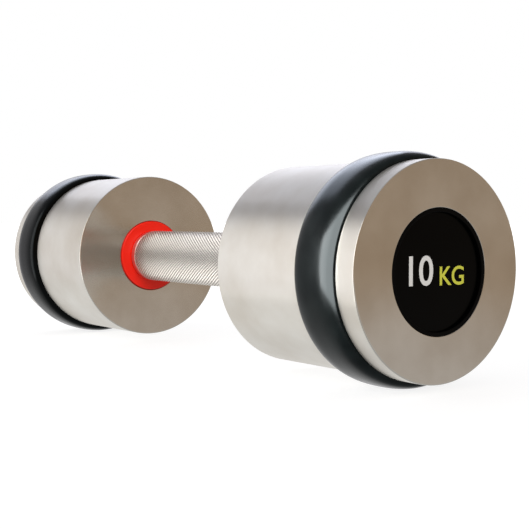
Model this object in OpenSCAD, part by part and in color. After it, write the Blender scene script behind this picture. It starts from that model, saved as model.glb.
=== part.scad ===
// Fixed-weight dumbbell: a knurled grip bar with a steel head that spins on each end.
// The bar lies along X with its middle at the origin, and +Z is up.
// Every turned piece is drawn for the right-hand end (+X) and mirrored for the left.

/* [Head] */
// Diameter of a steel head
head_d = 93; // [88:1:110]
// Length of a steel head along the bar
head_l = 95.2; // [92:0.2:120]
// Clear length of grip between the two heads
grip_gap = 142.4; // [110:0.2:180]
// Chamfer on the sharp edges of a head
edge_chamfer = 0.6; // [0.2:0.1:1.5]

/* [Rubber ring] */
// Width of the ring and of the groove that holds it
ring_w = 24.7; // [14:0.1:28]
// Width of the steel rim outside the ring
rim_w = 11; // [10:0.5:16]
// Depth of the groove below the head's surface
groove_depth = 5; // [3:0.5:8]
// How far the ring stands proud of the head
ring_bulge = 3.9; // [1:0.1:8]

/* [Grip] */
// Diameter over the tips of the knurl
knurl_d = 29.2; // [27:0.1:34]
// Depth of the knurl, which is also the step down to the plain ends
knurl_depth = 0.4; // [0.2:0.1:0.8]
// Length of the plain band at each end of the grip
plain_band = 4.4; // [2:0.1:10]
// Diameter of the journals that the heads run on
journal_d = 20; // [18:0.5:22]

/* [Bearings] */
// Gap between a journal and its bushes, on the radius
running_gap = 0.03; // [0.02:0.01:0.08]
// End play at each thrust face
end_play = 0.1; // [0.05:0.05:0.3]
// Diameter of the flange of the red inner bush
flange_d = 40.4; // [38:0.2:44]
// How far that flange stands proud of the head's inner face
flange_proud = 0.8; // [0.2:0.1:2]
// Length of each bush's sleeve in the head
bush_l = 20; // [14:1:24]

/* [End cap] */
// Diameter of the plastic end cap
cap_d = 53.1; // [46:0.1:60]
// Diameter of the label set into the cap
label_d = 49.4; // [38:0.1:50]
// Depth of the label below the cap's rim
label_recess = 1.5; // [0.5:0.1:2]

/* [Hidden] */
$fn = 96;

// Radii
head_r = head_d / 2;
groove_r = head_r - groove_depth;
knurl_r = knurl_d / 2;
plain_r = knurl_r - knurl_depth / 2;
journal_r = journal_d / 2;
bush_bore_r = journal_r + running_gap;
bush_r = journal_r + 3;
relief_r = journal_r + 1;
flange_r = flange_d / 2;
flange_recess_r = flange_r + 0.3;
pocket_r = 18;
cap_r = cap_d / 2;
label_r = label_d / 2;

// Retaining stack on the end of the bar, M10 hardware
thrust_t = 2;
retainer_t = 5;
retainer_r = 16.5;
lock_t = 2.2;
lock_r = 9;
lock_slit = 1.2;
thread_r = 5;
bolt_l = 30;
bolt_head_r = 8;
bolt_head_h = 10;
hex_across = 8;
hex_depth = 5;
tap_depth = 27;
drill_angle = 59;

// Cap
cap_below_face = 0.2;
label_t = 0.5;
cap_floor_t = 2;
skirt_t = 2.2;
skirt_l = 6;
bolt_to_cap = 1.6;

// Stations along the bar, for the right-hand end
x_in = grip_gap / 2;
x_out = x_in + head_l;
x_groove_out = x_out - rim_w;
x_groove_in = x_groove_out - ring_w;
flange_t = 5;
x_flange = x_in - flange_proud;
x_flange_seat = x_flange + flange_t;
x_shoulder = x_flange - end_play;
x_cap = x_out - cap_below_face;
x_label_floor = x_cap - label_recess - label_t;
x_cap_inside = x_label_floor - cap_floor_t;
x_skirt = x_cap - skirt_l;
x_bolt_top = x_cap_inside - bolt_to_cap;
x_bolt_seat = x_bolt_top - bolt_head_h;
x_retainer_out = x_bolt_seat - lock_t;
x_bar_end = x_retainer_out - retainer_t;
x_thrust_out = x_bar_end - end_play;
x_pocket = x_thrust_out - thrust_t;

// Small breaks on the edges of turned parts
small = 0.3;
medium = 0.8;
grip_end_chamfer = 1;

// A solid of revolution about the bar's axis, from [radius, station] points.
module turned(points) rotate([0, 90, 0]) rotate_extrude() polygon(points);

// A plain ring between two stations, its outer corners broken by a chamfer.
module ring(r_in, r_out, x0, x1, c = 0) turned([
    [r_in, x0], [r_out - c, x0], [r_out, x0 + c],
    [r_out, x1 - c], [r_out - c, x1], [r_in, x1]
]);

// Bulging outside of the rubber ring: a super-ellipse from one edge of the groove to the other.
bulge_power = 2.8;
bulge_steps = 20;
function eased(v) = sign(v) * pow(abs(v), 2 / bulge_power);
bulge = [for (i = [0:bulge_steps]) let (a = 180 * i / bulge_steps) [
    head_r + ring_bulge * eased(max(sin(a), 0)),
    (x_groove_in + x_groove_out - ring_w * eased(cos(a))) / 2
]];

// Turned bar: knurled in the middle, a journal and a tapped hole at each end.
module grip_bar() color("silver") difference() {
    union() {
        ring(0, journal_r, -x_bar_end, x_bar_end, medium);
        ring(0, plain_r, -x_shoulder, x_shoulder, grip_end_chamfer);
        ring(0, knurl_r, plain_band - x_shoulder, x_shoulder - plain_band, knurl_depth / 2);
    }
    for (side = [0, 1]) mirror([side, 0, 0]) turned([
        [0, x_bar_end + 1], [thread_r, x_bar_end + 1], [thread_r, x_bar_end - tap_depth],
        [0, x_bar_end - tap_depth - thread_r / tan(drill_angle)]
    ]);
}

// Head turned from round bar: ring groove outside, bush seats, hardware pocket and cap seat inside.
module head() color([0.66, 0.64, 0.61]) turned([
    [flange_recess_r + small, x_in],
    [head_r - edge_chamfer, x_in], [head_r, x_in + edge_chamfer],
    [head_r, x_groove_in], [groove_r, x_groove_in], [groove_r, x_groove_out], [head_r, x_groove_out],
    [head_r, x_out - edge_chamfer], [head_r - edge_chamfer, x_out],
    [cap_r + edge_chamfer, x_out], [cap_r, x_out - edge_chamfer], [cap_r, x_skirt],
    [pocket_r, x_skirt], [pocket_r, x_pocket],
    [bush_r, x_pocket], [bush_r, x_pocket - bush_l],
    [relief_r, x_pocket - bush_l], [relief_r, x_flange_seat + bush_l],
    [bush_r, x_flange_seat + bush_l], [bush_r, x_flange_seat],
    [flange_recess_r, x_flange_seat], [flange_recess_r, x_in + small]
]);

// Moulded rubber ring stretched into the head's groove.
module bumper_ring() color([0.07, 0.08, 0.09]) turned(concat(
    bulge, [[groove_r, x_groove_out], [groove_r, x_groove_in]]
));

// Red acetal bush: the sleeve carries the head, and the flange takes the shoulder of the grip.
module flanged_bush() color([0.9, 0.16, 0.14]) turned([
    [bush_bore_r + medium, x_flange], [flange_r - medium, x_flange], [flange_r, x_flange + medium],
    [flange_r, x_flange_seat], [bush_r, x_flange_seat], [bush_r, x_flange_seat + bush_l],
    [bush_bore_r, x_flange_seat + bush_l], [bush_bore_r, x_flange + medium]
]);

// Sintered bronze sleeve that carries the outer end of the head.
module outer_bush() color([0.72, 0.52, 0.28]) ring(bush_bore_r, bush_r, x_pocket - bush_l, x_pocket);

// Bronze washer between the head and the retaining washer.
module thrust_washer() color([0.74, 0.55, 0.3])
    ring(journal_r + small, pocket_r - small, x_pocket, x_thrust_out, small);

// Thick steel washer clamped on the end of the bar, which keeps the head on.
module retaining_washer() color([0.62, 0.63, 0.65])
    ring(thread_r + small, retainer_r, x_bar_end, x_retainer_out, small);

// Spring lock washer with its slit.
module lock_washer() color([0.45, 0.46, 0.48]) difference() {
    ring(thread_r + small, lock_r, x_retainer_out, x_bolt_seat);
    translate([x_retainer_out - 1, -lock_slit / 2, 0]) cube([lock_t + 2, lock_slit, lock_r + 1]);
}

// M10 socket-head cap screw, its thread drawn at the nominal diameter.
module head_bolt() color([0.25, 0.26, 0.28]) difference() {
    union() {
        ring(0, bolt_head_r, x_bolt_seat, x_bolt_top, medium);
        ring(0, thread_r, x_bolt_seat - bolt_l, x_bolt_seat + 1, medium);
    }
    translate([x_bolt_top - hex_depth, 0, 0]) rotate([0, 90, 0])
        cylinder(r = hex_across / 2 / cos(30), h = hex_depth + 1, $fn = 6);
}

// Moulded cap: a dished floor inside a raised rim, and a skirt pressed into the head.
module end_cap() color([0.1, 0.1, 0.11]) turned([
    [0, x_label_floor], [label_r, x_label_floor], [label_r, x_cap - small], [label_r + small, x_cap],
    [cap_r - small, x_cap], [cap_r, x_cap - small], [cap_r, x_skirt],
    [cap_r - skirt_t, x_skirt], [cap_r - skirt_t, x_cap_inside], [0, x_cap_inside]
]);

// Domed-resin label bonded into the dish of the cap.
module cap_label() color([0.03, 0.03, 0.04])
    ring(0, label_r, x_label_floor, x_label_floor + label_t, small / 2);

// The left-hand pieces are mirror images of the right-hand ones.
module left() mirror([1, 0, 0]) children();

grip_bar();
left() head();  // left_head
left() bumper_ring();  // left_bumper_ring
left() flanged_bush();  // left_flanged_bush
left() outer_bush();  // left_outer_bush
left() thrust_washer();  // left_thrust_washer
left() retaining_washer();  // left_retaining_washer
left() lock_washer();  // left_lock_washer
left() head_bolt();  // left_head_bolt
left() end_cap();  // left_end_cap
left() cap_label();  // left_cap_label
head();  // right_head
bumper_ring();  // right_bumper_ring
flanged_bush();  // right_flanged_bush
outer_bush();  // right_outer_bush
thrust_washer();  // right_thrust_washer
retaining_washer();  // right_retaining_washer
lock_washer();  // right_lock_washer
head_bolt();  // right_head_bolt
end_cap();  // right_end_cap
cap_label();  // right_cap_label
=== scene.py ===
import math

import bpy
from mathutils import Matrix, Vector


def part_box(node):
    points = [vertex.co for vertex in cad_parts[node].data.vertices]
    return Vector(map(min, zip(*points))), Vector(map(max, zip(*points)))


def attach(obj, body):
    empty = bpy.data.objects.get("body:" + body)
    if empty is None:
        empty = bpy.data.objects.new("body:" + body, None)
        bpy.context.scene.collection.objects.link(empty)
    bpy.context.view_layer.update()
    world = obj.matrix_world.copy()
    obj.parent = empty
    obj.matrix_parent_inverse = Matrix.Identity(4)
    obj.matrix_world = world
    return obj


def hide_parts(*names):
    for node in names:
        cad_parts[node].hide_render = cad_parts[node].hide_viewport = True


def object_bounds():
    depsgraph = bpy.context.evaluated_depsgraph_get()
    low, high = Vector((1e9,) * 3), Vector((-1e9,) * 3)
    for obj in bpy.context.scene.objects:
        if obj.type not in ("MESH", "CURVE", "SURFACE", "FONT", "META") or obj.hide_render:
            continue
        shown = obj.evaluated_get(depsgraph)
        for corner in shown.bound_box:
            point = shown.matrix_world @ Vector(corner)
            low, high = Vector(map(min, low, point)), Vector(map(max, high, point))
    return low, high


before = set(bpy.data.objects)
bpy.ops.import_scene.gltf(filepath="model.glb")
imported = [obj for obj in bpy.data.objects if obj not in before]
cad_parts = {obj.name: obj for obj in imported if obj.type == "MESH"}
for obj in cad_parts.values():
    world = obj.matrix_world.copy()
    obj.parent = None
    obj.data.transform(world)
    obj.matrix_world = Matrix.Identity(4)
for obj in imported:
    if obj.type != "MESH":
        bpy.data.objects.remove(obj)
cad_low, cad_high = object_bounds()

# ---------------------------------------------------------------- camera
# A short telephoto a little above the bar, looking across the right-hand head to the left-hand one.
# Its place is in head radii from the middle of the grip, and it has no shift and no depth of field.
head_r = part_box("right_head")[1].z
azimuth = math.radians(54.283)
pitch = math.radians(-2.545)

camera_data = bpy.data.cameras.new("camera")
camera_data.sensor_width = 36.0
camera_data.lens = 71.05
camera = bpy.data.objects.new("camera", camera_data)
camera.location = Vector((10.119, -6.603, 0.475)) * head_r
camera.rotation_euler = (math.radians(90) + pitch, 0.0, azimuth)
bpy.context.scene.collection.objects.link(camera)
bpy.context.scene.camera = camera
bpy.context.scene.view_settings.view_transform = "Standard"

# ---------------------------------------------------------------- studio
# A white paper floor in a softly lit room, with pale walls on the left and dimmer, warmer ones on the
# right. A tall softbox stands to the left of the camera, a second one hangs above the camera, and a
# cool strip hangs behind the left-hand head.


def linear(hex_colour):
    """Linear RGBA of an sRGB hex colour such as "#C8C4BE"."""
    channels = [int(hex_colour[i:i + 2], 16) / 255 for i in (1, 3, 5)]
    return [c / 12.92 if c <= 0.04045 else ((c + 0.055) / 1.055) ** 2.4 for c in channels] + [1.0]


def add_node(tree, kind, links=(), **settings):
    """A new node. links maps an input's name or number to a socket, and the rest are inputs or settings."""
    node = tree.nodes.new(kind)
    for name, value in settings.items():
        if hasattr(node, name):
            setattr(node, name, value)
        else:
            node.inputs[name.replace("_", " ")].default_value = value
    for name, source in dict(links).items():
        tree.links.new(source, node.inputs[name])
    return node


room = bpy.data.worlds.new("studio_room")
room.use_nodes = True
tree = room.node_tree
tree.nodes.clear()
# Each wall is a ramp of colours from straight below, 0, past the horizon, 0.5, to straight above, 1.
left_wall = ((0.06, "#B9BBBC"), (0.12, "#FFFFFF"), (0.32, "#FFFFFF"), (0.36, "#E6E5E8"), (0.72, "#E6E5E8"),
             (0.76, "#A2A2A8"), (0.86, "#A8A8AE"), (0.90, "#C4C6CC"))
right_wall = ((0.20, "#B9BBBC"), (0.25, "#B8B6B4"), (0.42, "#CDCBCA"), (0.46, "#AA9885"), (0.78, "#AA9885"),
              (0.84, "#AFAFB2"))
direction = add_node(tree, "ShaderNodeTexCoord").outputs["Generated"]
upward = add_node(tree, "ShaderNodeSeparateXYZ", {0: direction}).outputs["Z"]
upward = add_node(tree, "ShaderNodeMapRange", {"Value": upward}, From_Min=-1.0).outputs[0]
walls = []
for stops in (left_wall, right_wall):
    wall = add_node(tree, "ShaderNodeValToRGB", {"Fac": upward})
    for i, (place, colour) in enumerate(stops):
        stop = wall.color_ramp.elements[i] if i < 2 else wall.color_ramp.elements.new(place)
        stop.position = place
        stop.color = linear(colour)
    walls.append(wall.outputs["Color"])
leftward = add_node(tree, "ShaderNodeVectorMath", {0: direction}, operation="DOT_PRODUCT")
leftward.inputs[1].default_value = (-0.98, -0.20, 0.0)
left = add_node(tree, "ShaderNodeMapRange", {"Value": leftward.outputs["Value"]},
                interpolation_type="SMOOTHSTEP", From_Min=0.0, From_Max=0.4)
shade = add_node(tree, "ShaderNodeMix", {"Factor": left.outputs[0], 6: walls[1], 7: walls[0]},
                 data_type="RGBA")
unseen = add_node(tree, "ShaderNodeBackground", {"Color": shade.outputs[2]}, Strength=1.0)
seen = add_node(tree, "ShaderNodeBackground", Color=linear("#FFFFFF"), Strength=1.0)
eye = add_node(tree, "ShaderNodeLightPath")
either = add_node(tree, "ShaderNodeMixShader", {0: eye.outputs["Is Camera Ray"],
                                                1: unseen.outputs[0], 2: seen.outputs[0]})
add_node(tree, "ShaderNodeOutputWorld", {"Surface": either.outputs[0]})
bpy.context.scene.world = room


def softbox(name, bearing, height, distance, size, radiance, colour):
    """Rectangular light that faces the object's middle.

    Its bearing from +X and its height are in degrees, and its distance and size in metres.
    """
    data = bpy.data.lights.new(name, "AREA")
    data.shape = "RECTANGLE"
    data.size, data.size_y = size
    data.color = linear(colour)[:3]
    data.energy = radiance * math.pi * size[0] * size[1]
    lamp = bpy.data.objects.new(name, data)
    b, h = math.radians(bearing), math.radians(height)
    lamp.location = distance * Vector((math.cos(b) * math.cos(h), math.sin(b) * math.cos(h), math.sin(h)))
    lamp.rotation_euler = (-lamp.location).to_track_quat("-Z", "Y").to_euler()
    lamp.visible_camera = False
    bpy.context.scene.collection.objects.link(lamp)
    return lamp


softbox("key_softbox", -106, 8, 4.0, (2.2, 5.6), 2.8, "#FFFFFF")
# The one above the camera is flagged off the heads: it lights the grip, the red bushes and the ink.
fill_lit = bpy.data.collections.new("fill_lit")
fill_light = softbox("fill_softbox", -35, 40, 4.0, (2.8, 2.4), 5.2, "#FFFFFF")
fill_light.light_linking.receiver_collection = fill_lit
softbox("cool_strip", 148, 27, 4.0, (4.3, 1.6), 1.5, "#E8EDFF")

floor_mesh = bpy.data.meshes.new("floor")
reach = 12.0
floor_mesh.from_pydata([(x * reach, y * reach, cad_low[2]) for x, y in ((-1, -1), (1, -1), (1, 1), (-1, 1))],
                       [], [(0, 1, 2, 3)])
floor = bpy.data.objects.new("floor", floor_mesh)
bpy.context.scene.collection.objects.link(floor)
# The walls' lower part already stands for what the steel sees of the paper, so only the eye sees it.
floor.visible_glossy = floor.visible_diffuse = floor.visible_shadow = False
paper = bpy.data.materials.new("matt white paper")
paper.use_nodes = True
paper_shader = paper.node_tree.nodes["Principled BSDF"]
paper_shader.inputs["Base Color"].default_value = linear("#9C9C9C")
paper_shader.inputs["Roughness"].default_value = 1.0
paper_shader.inputs["Specular IOR Level"].default_value = 0.0
paper_shader.inputs["Emission Color"].default_value = linear("#FFFFFF")
# The paper glows, from 0.84 near the object to 1.3 away from it, a painted light that runs it into
# the white wall with no horizon.
paper_tree = paper.node_tree
spread = add_node(paper_tree, "ShaderNodeVectorMath", {
    0: add_node(paper_tree, "ShaderNodeTexCoord").outputs["Object"]}, operation="LENGTH")
glow = add_node(paper_tree, "ShaderNodeMapRange", {"Value": spread.outputs["Value"]},
                interpolation_type="SMOOTHSTEP", From_Min=0.25, From_Max=1.2, To_Min=0.84, To_Max=1.3)
paper_tree.links.new(glow.outputs[0], paper_shader.inputs["Emission Strength"])
floor_mesh.materials.append(paper)

# ---------------------------------------------------------------- steel heads
# Each head is one piece of stainless bar, faced and turned on a lathe, with every edge broken.
# The last light cut leaves fine rings round the sides and the faces, which stretch each highlight
# along the bar on the sides and towards the rim on the faces.
MM = 0.001
SIDES = {"right": 1, "left": -1}


def rounded(corners, steps=5, guard=0.12):
    """Closed outline of (station, radius) points from (station, radius, rounding) corners.

    A guard point each side of every arc keeps the flat between two arcs shaded flat.
    """
    points = []
    for i, (x, r, rounding) in enumerate(corners):
        here = Vector((x, r))
        if rounding == 0:
            points.append(here)
            continue
        back = (Vector(corners[i - 1][:2]) - here).normalized()
        ahead = (Vector(corners[(i + 1) % len(corners)][:2]) - here).normalized()
        half = back.angle(ahead) / 2
        reach = rounding / math.tan(half)
        centre = here + (back + ahead).normalized() * rounding / math.sin(half)
        start = here + back * reach - centre
        turn = start.angle_signed(here + ahead * reach - centre)
        points.append(here + back * (reach + guard))
        for k in range(steps + 1):
            a = -turn * k / steps
            points.append(centre + Vector((start.x * math.cos(a) - start.y * math.sin(a),
                                           start.x * math.sin(a) + start.y * math.cos(a))))
        points.append(here + ahead * (reach + guard))
    return points


def turned(name, outline, side, around=256):
    """Smooth solid of revolution about the bar from a closed outline in millimetres.

    The UV map's U runs along the outline in decimetres, and its V once round the bar.
    """
    verts, rings = [], []
    for x, r in outline:
        if r < 1e-6:
            rings.append([len(verts)] * around)
            verts.append((side * x * MM, 0.0, 0.0))
        else:
            rings.append([len(verts) + i for i in range(around)])
            verts += [(side * x * MM, -r * MM * math.cos(a), r * MM * math.sin(a))
                      for a in (2 * math.pi * i / around for i in range(around))]
    along = [0.0]
    for a, b in zip(outline, outline[1:] + outline[:1]):
        along.append(along[-1] + (Vector(b) - Vector(a)).length * MM * 10)
    faces, uvs = [], []
    for j in range(len(outline)):
        a, b = rings[j], rings[(j + 1) % len(rings)]
        if a[0] == a[1] and b[0] == b[1]:
            continue
        for i in range(around):
            k = (i + 1) % around
            corners = [(a[i], along[j], i), (a[k], along[j], i + 1),
                       (b[k], along[j + 1], i + 1), (b[i], along[j + 1], i)]
            if a[0] == a[1]:
                corners.pop(1)
            if b[0] == b[1]:
                corners.pop(2)
            faces.append([c[0] for c in corners[::side]])
            uvs += [(c[1], c[2] / around) for c in corners[::side]]
    mesh = bpy.data.meshes.new(name)
    mesh.from_pydata(verts, [], faces)
    layer = mesh.uv_layers.new(name="turning")
    layer.data.foreach_set("uv", [value for uv in uvs for value in uv])
    mesh.shade_smooth()
    piece = bpy.data.objects.new(name, mesh)
    bpy.context.scene.collection.objects.link(piece)
    return piece


def new_material(name, **shader_inputs):
    """A material and its principled shader, with constants set on the shader's own sockets."""
    material = bpy.data.materials.new(name)
    material.use_nodes = True
    shader = material.node_tree.nodes["Principled BSDF"]
    for key, value in shader_inputs.items():
        shader.inputs[key.replace("_", " ")].default_value = value
    return material, material.node_tree, shader


# Turned stainless steel: a warm grey metal, clouded in patches of about 25 mm by handling. Feed marks
# 0.25 mm apart are drawn as soft rings, finer on the faces than on the sides.
turned_steel, tree, shader = new_material("turned stainless steel", Metallic=1.0, Anisotropic=0.85)
uv = add_node(tree, "ShaderNodeUVMap", uv_map="turning").outputs["UV"]
place = add_node(tree, "ShaderNodeTexCoord").outputs["Object"]
feed = add_node(tree, "ShaderNodeMapping", {"Vector": uv}, Scale=(400.0, 3.0, 1.0))
rings = add_node(tree, "ShaderNodeTexNoise", {"Vector": feed.outputs[0]}, Scale=1.0, Detail=4.0)
cloud = add_node(tree, "ShaderNodeTexNoise", {"Vector": place}, Scale=38.0, Detail=5.0)
tone = add_node(tree, "ShaderNodeMix", {"Factor": cloud.outputs[0]}, data_type="RGBA")
tone.inputs[6].default_value = linear("#BDB3A4")
tone.inputs[7].default_value = linear("#E9E8E3")
tree.links.new(tone.outputs[2], shader.inputs["Base Color"])
facing = add_node(tree, "ShaderNodeSeparateXYZ", {0: add_node(tree, "ShaderNodeTexCoord").outputs["Normal"]})
end_face = add_node(tree, "ShaderNodeMath", {0: facing.outputs["X"]}, operation="ABSOLUTE")
finest = add_node(tree, "ShaderNodeMapRange", {"Value": end_face.outputs[0]}, From_Min=0.3, From_Max=0.8,
                  To_Min=0.26, To_Max=0.16)
coarsest = add_node(tree, "ShaderNodeMapRange", {"Value": end_face.outputs[0]}, From_Min=0.3, From_Max=0.8,
                    To_Min=0.34, To_Max=0.21)
rough = add_node(tree, "ShaderNodeMapRange", {"Value": rings.outputs[0], "To Min": finest.outputs[0],
                                              "To Max": coarsest.outputs[0]})
tree.links.new(rough.outputs[0], shader.inputs["Roughness"])
bump = add_node(tree, "ShaderNodeBump", {"Height": rings.outputs[0]}, Strength=0.15, Distance=0.00003)
tree.links.new(bump.outputs[0], shader.inputs["Normal"])
lay = add_node(tree, "ShaderNodeTangent", direction_type="UV_MAP", uv_map="turning")
tree.links.new(lay.outputs[0], shader.inputs["Tangent"])

x_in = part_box("right_head")[0].x / MM
x_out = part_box("right_head")[1].x / MM
head_radius = head_r / MM
ring_in, ring_out = (c.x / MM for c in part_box("right_bumper_ring"))
cap_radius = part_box("right_end_cap")[1].z / MM
flange_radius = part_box("right_flanged_bush")[1].z / MM
groove_radius = head_radius - 5.0
flange_hole = flange_radius + 0.3
flange_seat = x_in + 4.2
cap_seat = x_out - 6.2
pocket_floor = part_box("right_outer_bush")[1].x / MM
pocket_radius = 18.0
bush_radius = 13.0
bush_length = 20.0
relief_radius = 11.0
broken = 0.5
for word, side in SIDES.items():
    outline = rounded([
        (x_in, flange_hole, 0.3), (x_in, head_radius, broken),
        (ring_in, head_radius, 0.3), (ring_in, groove_radius, 0), (ring_out, groove_radius, 0),
        (ring_out, head_radius, 0.3), (x_out, head_radius, broken),
        (x_out, cap_radius, 0.15), (cap_seat, cap_radius, 0),
        (cap_seat, pocket_radius, 0), (pocket_floor, pocket_radius, 0), (pocket_floor, bush_radius, 0),
        (pocket_floor - bush_length, bush_radius, 0), (pocket_floor - bush_length, relief_radius, 0),
        (flange_seat + bush_length, relief_radius, 0), (flange_seat + bush_length, bush_radius, 0),
        (flange_seat, bush_radius, 0), (flange_seat, flange_hole, 0)])
    piece = turned(f"{word}_steel_head", outline, side)
    piece.data.materials.append(turned_steel)
    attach(piece, f"{word}_weight")
    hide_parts(f"{word}_head")

# ---------------------------------------------------------------- rubber rings
# One moulded nitrile ring per head, stretched into the groove that is turned for it. Its outside is
# a broad D that stands proud of the steel, so that the head rolls and lands on rubber.


def bulging(start, end, base, height, power=2.8, steps=48):
    """Outside of the ring from start to end: a super-ellipse standing height above base."""
    def eased(v):
        return math.copysign(abs(v) ** (2 / power), v)
    middle, half = (start + end) / 2, (end - start) / 2
    angles = [math.pi * k / steps for k in range(steps + 1)]
    return [Vector((middle - half * eased(math.cos(a)), base + height * eased(max(math.sin(a), 0.0))))
            for a in angles]


# Nitrile rubber: black with a cool sheen. The polished mould leaves it glossy, wear dulls it in patches
# of about 10 mm, and a pebble of 0.7 mm just breaks up the shine.
nitrile, tree, shader = new_material("moulded nitrile rubber", Specular_IOR_Level=0.12,
                                     Specular_Tint=linear("#E4EFF1"))
place = add_node(tree, "ShaderNodeTexCoord").outputs["Object"]
pebble = add_node(tree, "ShaderNodeTexNoise", {"Vector": place}, Scale=1400.0, Detail=3.0)
wear = add_node(tree, "ShaderNodeTexNoise", {"Vector": place}, Scale=110.0, Detail=4.0)
tone = add_node(tree, "ShaderNodeMix", {"Factor": wear.outputs[0]}, data_type="RGBA")
tone.inputs[6].default_value = linear("#000000")
tone.inputs[7].default_value = linear("#020303")
tree.links.new(tone.outputs[2], shader.inputs["Base Color"])
rough = add_node(tree, "ShaderNodeMapRange", {"Value": wear.outputs[0]}, To_Min=0.12, To_Max=0.3)
tree.links.new(rough.outputs[0], shader.inputs["Roughness"])
bump = add_node(tree, "ShaderNodeBump", {"Height": pebble.outputs[0]}, Strength=0.12, Distance=0.00005)
tree.links.new(bump.outputs[0], shader.inputs["Normal"])

# Two softboxes, flagged off the metal, show the rubber's shape: a wide one gives the near ring its
# long highlight, and a cool one behind gives both rings a rim of light.
near_ring = bpy.data.collections.new("near_ring")
both_rings = bpy.data.collections.new("both_rings")
ring_light = softbox("ring_softbox", -58, 12, 1.0, (3.9, 1.5), 32.0, "#FFFFFF")
ring_light.light_linking.receiver_collection = near_ring
rim_light = softbox("rim_softbox", 160, 40, 2.0, (1.8, 0.9), 2.6, "#E2ECFF")
rim_light.light_linking.receiver_collection = both_rings

ring_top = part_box("right_bumper_ring")[1].z / MM
seam = 0.2
sunk = 0.4
for word, side in SIDES.items():
    outline = [Vector((ring_in + seam, groove_radius))]
    outline += bulging(ring_in + seam, ring_out - seam, head_radius - sunk, ring_top - head_radius + sunk)
    outline += [Vector((ring_out - seam, groove_radius))]
    piece = turned(f"{word}_rubber_ring", outline, side)
    piece.data.materials.append(nitrile)
    both_rings.objects.link(piece)
    if side == 1:
        near_ring.objects.link(piece)
    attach(piece, f"{word}_weight")
    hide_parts(f"{word}_bumper_ring")

# ---------------------------------------------------------------- red bushes
# A flanged bush turned from red acetal rod is pressed into the inner face of each head. The grip's
# shoulder turns against the flange, which stands just proud of the steel.

# Acetal: an opaque, slightly waxy plastic with a soft sheen. The tool leaves faint rings 0.3 mm apart.
acetal, tree, shader = new_material("turned red acetal", Specular_IOR_Level=0.35)
uv = add_node(tree, "ShaderNodeUVMap", uv_map="turning").outputs["UV"]
place = add_node(tree, "ShaderNodeTexCoord").outputs["Object"]
feed = add_node(tree, "ShaderNodeMapping", {"Vector": uv}, Scale=(350.0, 2.0, 1.0))
rings = add_node(tree, "ShaderNodeTexNoise", {"Vector": feed.outputs[0]}, Scale=1.0, Detail=3.0)
cloud = add_node(tree, "ShaderNodeTexNoise", {"Vector": place}, Scale=60.0, Detail=2.0)
tone = add_node(tree, "ShaderNodeMix", {"Factor": cloud.outputs[0]}, data_type="RGBA")
tone.inputs[6].default_value = linear("#FA1C08")
tone.inputs[7].default_value = linear("#FF240C")
tree.links.new(tone.outputs[2], shader.inputs["Base Color"])
rough = add_node(tree, "ShaderNodeMapRange", {"Value": rings.outputs[0]}, To_Min=0.32, To_Max=0.42)
tree.links.new(rough.outputs[0], shader.inputs["Roughness"])
bump = add_node(tree, "ShaderNodeBump", {"Height": rings.outputs[0]}, Strength=0.1, Distance=0.00002)
tree.links.new(bump.outputs[0], shader.inputs["Normal"])

x_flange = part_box("right_flanged_bush")[0].x / MM
x_flange_back = x_flange + 5.0
x_bush_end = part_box("right_flanged_bush")[1].x / MM
journal_bore = 10.03
for word, side in SIDES.items():
    outline = rounded([
        (x_flange, journal_bore, 0.6), (x_flange, flange_radius, 0.6),
        (x_flange_back, flange_radius, 0.3), (x_flange_back, bush_radius, 0),
        (x_bush_end, bush_radius, 0.4), (x_bush_end, journal_bore, 0)])
    piece = turned(f"{word}_red_bush", outline, side)
    piece.data.materials.append(acetal)
    fill_lit.objects.link(piece)
    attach(piece, f"{word}_weight")
    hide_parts(f"{word}_flanged_bush")

# ---------------------------------------------------------------- grip bar
# A solid stainless bar turned between centres: a plain shoulder and band at each end of the grip,
# and a ground journal beyond it with a tapped hole for the head bolt.

# Turned stainless steel, brighter than the heads because hands polish it, in patches of about 14 mm.
burnished_steel, tree, shader = new_material("burnished stainless steel", Metallic=1.0)
place = add_node(tree, "ShaderNodeTexCoord").outputs["Object"]
handling = add_node(tree, "ShaderNodeTexNoise", {"Vector": place}, Scale=70.0, Detail=4.0)
tone = add_node(tree, "ShaderNodeMix", {"Factor": handling.outputs[0]}, data_type="RGBA")
tone.inputs[6].default_value = linear("#D8D3CC")
tone.inputs[7].default_value = linear("#E4E0DA")
tree.links.new(tone.outputs[2], shader.inputs["Base Color"])
rough = add_node(tree, "ShaderNodeMapRange", {"Value": handling.outputs[0]}, To_Min=0.28, To_Max=0.4)
tree.links.new(rough.outputs[0], shader.inputs["Roughness"])

bar_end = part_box("grip_bar")[1].x / MM
knurl_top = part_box("grip_bar")[1].z / MM
end_play = 0.1
shoulder = x_flange - end_play
band = shoulder - 4.4
band_radius = knurl_top - 0.2
root_radius = knurl_top - 0.4
journal_radius = 10.0
tapped_radius = 5.0
half_bar = [
    (bar_end - 30.0, 0.0, 0), (bar_end - 27.0, tapped_radius, 0), (bar_end, tapped_radius, 0.3),
    (bar_end, journal_radius, 0.6), (shoulder, journal_radius, 0.2),
    (shoulder, band_radius - 1.0, 0.2), (shoulder - 1.0, band_radius, 0.3),
    (band, band_radius, 0.15), (band - 0.2, root_radius, 0.05)]
corners = [(-x, r, rounding) for x, r, rounding in half_bar] + half_bar[::-1]
piece = turned("steel_grip_bar", rounded(corners, guard=0.05), 1)
piece.data.materials.append(burnished_steel)
fill_lit.objects.link(piece)
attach(piece, "grip")
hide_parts("grip_bar")
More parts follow.
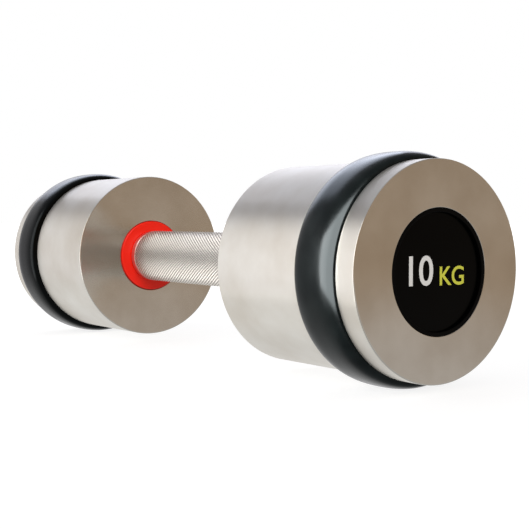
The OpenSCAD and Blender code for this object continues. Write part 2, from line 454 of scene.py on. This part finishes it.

# ---------------------------------------------------------------- knurl
# Two wheels roll a diamond knurl into the grip, which raises a blunt four-sided pyramid between
# every two pairs of grooves. The lead of 27 degrees makes each diamond longer than it is wide, and the
# outermost rows run out under the plain bands.

# Rolled stainless steel: hands keep the tips bright, in patches of about 11 mm, and the grooves are
# painted darker towards their roots, a painted shade together with grime.
shade_and_grime_depth = 0.22
rolled_steel, tree, shader = new_material("rolled stainless knurl", Metallic=1.0)
place = add_node(tree, "ShaderNodeTexCoord").outputs["Object"]
handling = add_node(tree, "ShaderNodeTexNoise", {"Vector": place}, Scale=90.0, Detail=4.0)
tone = add_node(tree, "ShaderNodeMix", {"Factor": handling.outputs[0]}, data_type="RGBA")
tone.inputs[6].default_value = linear("#D2CCC4")
tone.inputs[7].default_value = linear("#E6E2DC")
# Painted shade and grime: the colour darkens to #766F67 towards the roots of the grooves.
across = add_node(tree, "ShaderNodeVectorMath", {0: place}, operation="MULTIPLY")
across.inputs[1].default_value = (0.0, 1.0, 1.0)
height = add_node(tree, "ShaderNodeVectorMath", {0: across.outputs[0]}, operation="LENGTH")
groove_shade_and_grime = add_node(tree, "ShaderNodeMapRange", {"Value": height.outputs["Value"]},
                  From_Min=root_radius * MM, From_Max=(root_radius + shade_and_grime_depth) * MM)
tone_with_groove_shade = add_node(tree, "ShaderNodeMix", {"Factor": groove_shade_and_grime.outputs[0], 7: tone.outputs[2]}, data_type="RGBA")
tone_with_groove_shade.inputs[6].default_value = linear("#766F67")
tree.links.new(tone_with_groove_shade.outputs[2], shader.inputs["Base Color"])
rough = add_node(tree, "ShaderNodeMapRange", {"Value": handling.outputs[0]}, To_Min=0.34, To_Max=0.44)
tree.links.new(rough.outputs[0], shader.inputs["Roughness"])

starts = 64
lead = math.radians(27)
pitch = 2 * math.pi * root_radius / starts
row_pitch = pitch / math.tan(lead) / 2
rows = 2 * int(band / row_pitch)
bedding = 0.02
tip_share = 0.15

knurl_tree = bpy.data.node_groups.new("diamond_knurl", "GeometryNodeTree")
for label, kind in (("Rows", "NodeSocketInt"), ("Starts", "NodeSocketInt"), ("Row Pitch", "NodeSocketFloat"),
                    ("Turn Pitch", "NodeSocketFloat"), ("Root Radius", "NodeSocketFloat"),
                    ("Height", "NodeSocketFloat"), ("Tip", "NodeSocketFloat"),
                    ("Finish", "NodeSocketMaterial")):
    knurl_tree.interface.new_socket(label, in_out="INPUT", socket_type=kind)
knurl_tree.interface.new_socket("Geometry", in_out="OUTPUT", socket_type="NodeSocketGeometry")


def calculate(tree, operation, first, second=None):
    """Output of a maths node on one or two sockets or numbers."""
    node = tree.nodes.new("ShaderNodeMath")
    node.operation = operation
    for socket, source in zip(node.inputs, (first, second)):
        if isinstance(source, (int, float)):
            socket.default_value = source
        elif source is not None:
            tree.links.new(source, socket)
    return node.outputs[0]


sizes = add_node(knurl_tree, "NodeGroupInput").outputs
length = calculate(knurl_tree, "MULTIPLY", calculate(knurl_tree, "SUBTRACT", sizes["Rows"], 1),
                   sizes["Row Pitch"])
sweep = calculate(knurl_tree, "MULTIPLY", calculate(knurl_tree, "SUBTRACT", sizes["Starts"], 1),
                  sizes["Turn Pitch"])
lattice = add_node(knurl_tree, "GeometryNodeMeshGrid", {
    "Size X": length, "Size Y": sweep, "Vertices X": sizes["Rows"], "Vertices Y": sizes["Starts"]})
spot = add_node(knurl_tree, "ShaderNodeSeparateXYZ",
                {0: add_node(knurl_tree, "GeometryNodeInputPosition").outputs[0]}).outputs
row = calculate(knurl_tree, "ROUND", calculate(
    knurl_tree, "DIVIDE", calculate(knurl_tree, "ADD", spot["X"], calculate(knurl_tree, "DIVIDE", length, 2)),
    sizes["Row Pitch"]))
odd = calculate(knurl_tree, "MODULO", row, 2)
half_turn = calculate(knurl_tree, "DIVIDE", sizes["Turn Pitch"], 2)
stagger = add_node(knurl_tree, "ShaderNodeCombineXYZ",
                   {"Y": calculate(knurl_tree, "MULTIPLY", odd, half_turn)})
staggered = add_node(knurl_tree, "GeometryNodeSetPosition",
                     {"Geometry": lattice.outputs[0], "Offset": stagger.outputs[0]})
pyramid = add_node(knurl_tree, "GeometryNodeMeshCone", {"Radius Top": sizes["Tip"], "Depth": sizes["Height"]},
                   Vertices=4, Radius_Bottom=1.0)
spread = add_node(knurl_tree, "ShaderNodeCombineXYZ", {"X": sizes["Row Pitch"], "Y": half_turn}, Z=1.0)
studs = add_node(knurl_tree, "GeometryNodeInstanceOnPoints", {
    "Points": staggered.outputs[0], "Instance": pyramid.outputs[0], "Scale": spread.outputs[0]})
flat = add_node(knurl_tree, "GeometryNodeRealizeInstances", {0: studs.outputs[0]})
laid = add_node(knurl_tree, "ShaderNodeSeparateXYZ",
                {0: add_node(knurl_tree, "GeometryNodeInputPosition").outputs[0]}).outputs
radius = calculate(knurl_tree, "ADD", laid["Z"], sizes["Root Radius"])
rolled = add_node(knurl_tree, "ShaderNodeCombineXYZ", {
    "X": laid["X"],
    "Y": calculate(knurl_tree, "MULTIPLY", radius, calculate(knurl_tree, "COSINE", laid["Y"])),
    "Z": calculate(knurl_tree, "MULTIPLY", radius, calculate(knurl_tree, "SINE", laid["Y"]))})
wrapped = add_node(knurl_tree, "GeometryNodeSetPosition",
                   {"Geometry": flat.outputs[0], "Position": rolled.outputs[0]})
finished = add_node(knurl_tree, "GeometryNodeSetMaterial",
                    {"Geometry": wrapped.outputs[0], "Material": sizes["Finish"]})
add_node(knurl_tree, "NodeGroupOutput", {0: finished.outputs[0]})

blank = bpy.data.objects.new("knurl_blank", bpy.data.meshes.new("knurl_blank"))
bpy.context.scene.collection.objects.link(blank)
modifier = blank.modifiers.new("knurl", "NODES")
modifier.node_group = knurl_tree
settings = {"Rows": rows, "Starts": starts, "Row Pitch": row_pitch * MM, "Turn Pitch": 2 * math.pi / starts,
            "Root Radius": (root_radius - bedding) * MM, "Height": (knurl_top - root_radius + bedding) * MM,
            "Tip": tip_share, "Finish": rolled_steel}
for item in knurl_tree.interface.items_tree:
    if item.in_out == "INPUT":
        modifier[item.identifier] = settings[item.name]
evaluated = blank.evaluated_get(bpy.context.evaluated_depsgraph_get())
knurl = bpy.data.objects.new("knurl", bpy.data.meshes.new_from_object(evaluated))
bpy.data.objects.remove(blank)
bpy.context.scene.collection.objects.link(knurl)
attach(knurl, "grip")
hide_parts("grip_bar")

# ---------------------------------------------------------------- bearings and fixings
# Inside each head, out of sight: a sintered bronze bush and thrust washer, a zinc-plated retaining
# washer, a split lock washer and a black M10 socket-head screw. They keep their CAD shapes.

# Sintered bronze: a dull brown-gold metal, stained by its oil in patches of about 8 mm. Its open pores
# are drawn 0.4 mm apart, coarser than real ones, so that they show.
bronze, tree, shader = new_material("sintered bronze", Metallic=1.0)
place = add_node(tree, "ShaderNodeTexCoord").outputs["Object"]
pores = add_node(tree, "ShaderNodeTexVoronoi", {"Vector": place}, Scale=2500.0)
oil = add_node(tree, "ShaderNodeTexNoise", {"Vector": place}, Scale=120.0, Detail=4.0)
tone = add_node(tree, "ShaderNodeMix", {"Factor": oil.outputs[0]}, data_type="RGBA")
tone.inputs[6].default_value = linear("#8C6A3C")
tone.inputs[7].default_value = linear("#B58C54")
tree.links.new(tone.outputs[2], shader.inputs["Base Color"])
rough = add_node(tree, "ShaderNodeMapRange", {"Value": oil.outputs[0]}, To_Min=0.4, To_Max=0.6)
tree.links.new(rough.outputs[0], shader.inputs["Roughness"])
bump = add_node(tree, "ShaderNodeBump", {"Height": pores.outputs["Distance"]}, Strength=0.4, Distance=0.00005)
tree.links.new(bump.outputs[0], shader.inputs["Normal"])

# Bright zinc plate: a cool silver film with a faint crystalline bloom, drawn 1.7 mm across to show.
zinc, tree, shader = new_material("bright zinc plate", Metallic=1.0)
place = add_node(tree, "ShaderNodeTexCoord").outputs["Object"]
bloom = add_node(tree, "ShaderNodeTexVoronoi", {"Vector": place}, Scale=600.0)
tone = add_node(tree, "ShaderNodeMix", {"Factor": bloom.outputs["Distance"]}, data_type="RGBA")
tone.inputs[6].default_value = linear("#B9BEC4")
tone.inputs[7].default_value = linear("#D2D4D2")
tree.links.new(tone.outputs[2], shader.inputs["Base Color"])
rough = add_node(tree, "ShaderNodeMapRange", {"Value": bloom.outputs["Distance"]}, To_Min=0.25, To_Max=0.4)
tree.links.new(rough.outputs[0], shader.inputs["Roughness"])

# Black oxide: a thin oiled oxide on high-tensile steel, soft black and browner in patches of 5 mm.
oxide, tree, shader = new_material("oiled black oxide", Metallic=0.7)
place = add_node(tree, "ShaderNodeTexCoord").outputs["Object"]
film = add_node(tree, "ShaderNodeTexNoise", {"Vector": place}, Scale=220.0, Detail=5.0)
tone = add_node(tree, "ShaderNodeMix", {"Factor": film.outputs[0]}, data_type="RGBA")
tone.inputs[6].default_value = linear("#1B1A1B")
tone.inputs[7].default_value = linear("#35302C")
tree.links.new(tone.outputs[2], shader.inputs["Base Color"])
rough = add_node(tree, "ShaderNodeMapRange", {"Value": film.outputs[0]}, To_Min=0.35, To_Max=0.55)
tree.links.new(rough.outputs[0], shader.inputs["Roughness"])

for word in SIDES:
    for part, finish in (("outer_bush", bronze), ("thrust_washer", bronze), ("retaining_washer", zinc),
                         ("lock_washer", zinc), ("head_bolt", oxide)):
        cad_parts[f"{word}_{part}"].material_slots[0].material = finish

# ---------------------------------------------------------------- end caps
# A cap moulded in black ABS is pressed into the outer face of each head. Its rim stands round a
# shallow dish, into which a label is bonded.

# Spark-textured ABS: black, with a fine even grain of 0.3 mm that dulls its shine.
black_abs, tree, shader = new_material("spark-textured black ABS", Specular_IOR_Level=0.06)
place = add_node(tree, "ShaderNodeTexCoord").outputs["Object"]
grain = add_node(tree, "ShaderNodeTexNoise", {"Vector": place}, Scale=3000.0, Detail=2.0)
tone = add_node(tree, "ShaderNodeMix", {"Factor": grain.outputs[0]}, data_type="RGBA")
tone.inputs[6].default_value = linear("#010101")
tone.inputs[7].default_value = linear("#040405")
tree.links.new(tone.outputs[2], shader.inputs["Base Color"])
rough = add_node(tree, "ShaderNodeMapRange", {"Value": grain.outputs[0]}, To_Min=0.4, To_Max=0.55)
tree.links.new(rough.outputs[0], shader.inputs["Roughness"])
bump = add_node(tree, "ShaderNodeBump", {"Height": grain.outputs[0]}, Strength=0.2, Distance=0.00003)
tree.links.new(bump.outputs[0], shader.inputs["Normal"])

x_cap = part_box("right_end_cap")[1].x / MM
label_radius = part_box("right_cap_label")[1].z / MM
x_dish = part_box("right_cap_label")[0].x / MM
x_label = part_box("right_cap_label")[1].x / MM
x_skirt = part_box("right_end_cap")[0].x / MM
x_inside = x_dish - 2.0
skirt_radius = cap_radius - 0.05
wall_radius = cap_radius - 2.2
for word, side in SIDES.items():
    outline = rounded([
        (x_dish, 0.0, 0), (x_dish, label_radius, 0.1), (x_cap, label_radius, 0.25),
        (x_cap, skirt_radius, 0.35), (x_skirt, skirt_radius, 0.3),
        (x_skirt, wall_radius, 0.2), (x_inside, wall_radius, 0.3), (x_inside, 0.0, 0)], guard=0.05)
    piece = turned(f"{word}_black_cap", outline, side)
    piece.data.materials.append(black_abs)
    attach(piece, f"{word}_weight")
    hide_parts(f"{word}_end_cap")

# ---------------------------------------------------------------- cap labels
# A round label cast in black resin is bonded into the dish of each cap, and the weight is printed on
# its face through a screen, the figures in white and the unit in lime.

# Cast polyurethane resin: deep black and smooth, with a haze in patches of about 11 mm.
black_resin, tree, shader = new_material("cast black resin", Specular_IOR_Level=0.06)
place = add_node(tree, "ShaderNodeTexCoord").outputs["Object"]
haze = add_node(tree, "ShaderNodeTexNoise", {"Vector": place}, Scale=90.0, Detail=4.0)
tone = add_node(tree, "ShaderNodeMix", {"Factor": haze.outputs[0]}, data_type="RGBA")
tone.inputs[6].default_value = linear("#010101")
tone.inputs[7].default_value = linear("#020304")
tree.links.new(tone.outputs[2], shader.inputs["Base Color"])
rough = add_node(tree, "ShaderNodeMapRange", {"Value": haze.outputs[0]}, To_Min=0.2, To_Max=0.3)
tree.links.new(rough.outputs[0], shader.inputs["Roughness"])


def ink(name, pale, deep):
    """Screen-printed ink: opaque and matt, its mesh marks drawn 0.7 mm coarse so that they show."""
    material, tree, shader = new_material(name)
    place = add_node(tree, "ShaderNodeTexCoord").outputs["Object"]
    screen = add_node(tree, "ShaderNodeTexNoise", {"Vector": place}, Scale=1500.0, Detail=2.0)
    tone = add_node(tree, "ShaderNodeMix", {"Factor": screen.outputs[0]}, data_type="RGBA")
    tone.inputs[6].default_value = linear(deep)
    tone.inputs[7].default_value = linear(pale)
    tree.links.new(tone.outputs[2], shader.inputs["Base Color"])
    rough = add_node(tree, "ShaderNodeMapRange", {"Value": screen.outputs[0]}, To_Min=0.5, To_Max=0.65)
    tree.links.new(rough.outputs[0], shader.inputs["Roughness"])
    return material


white_ink = ink("white screen ink", "#E4E5E4", "#D2D3D2")
lime_ink = ink("lime screen ink", "#D2D44A", "#C2C43C")


def printed(name, words, height, across, up, side, finish):
    """Lettering in a thin film of ink, laid on the label upright, with its middle at across, up."""
    curve = bpy.data.curves.new(name, "FONT")
    curve.body = words
    curve.size = height
    curve.align_x, curve.align_y = "CENTER", "CENTER"
    curve.extrude = 0.02
    curve.offset = 0.012 * height
    writing = bpy.data.objects.new(name, curve)
    bpy.context.scene.collection.objects.link(writing)
    shape = writing.evaluated_get(bpy.context.evaluated_depsgraph_get())
    mesh = bpy.data.meshes.new_from_object(shape)
    bpy.data.objects.remove(writing)
    to_face = Matrix(((0, 0, side, side * (x_label + 0.02)), (side, 0, 0, side * across),
                      (0, 1, 0, up), (0, 0, 0, 1)))
    mesh.transform(Matrix.Scale(MM, 4) @ to_face)
    mesh.materials.clear()
    mesh.materials.append(finish)
    piece = bpy.data.objects.new(name, mesh)
    bpy.context.scene.collection.objects.link(piece)
    return piece


disc_radius = label_radius - 0.1
figures_height, figures_across = 17.0, -10.5
unit_height, unit_across, unit_up = 11.0, 8.5, -2.15
for word, side in SIDES.items():
    outline = rounded([(x_dish, 0.0, 0), (x_label, 0.0, 0), (x_label, disc_radius, 0.15),
                       (x_dish, disc_radius, 0)], guard=0.05)
    piece = turned(f"{word}_label", outline, side)
    piece.data.materials.append(black_resin)
    numerals = printed(f"{word}_numerals", "10", figures_height, figures_across, 0.0, side, white_ink)
    unit = printed(f"{word}_unit", "KG", unit_height, unit_across, unit_up, side, lime_ink)
    for item in (numerals, unit):
        fill_lit.objects.link(item)
    for item in (piece, numerals, unit):
        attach(item, f"{word}_weight")
    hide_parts(f"{word}_cap_label")
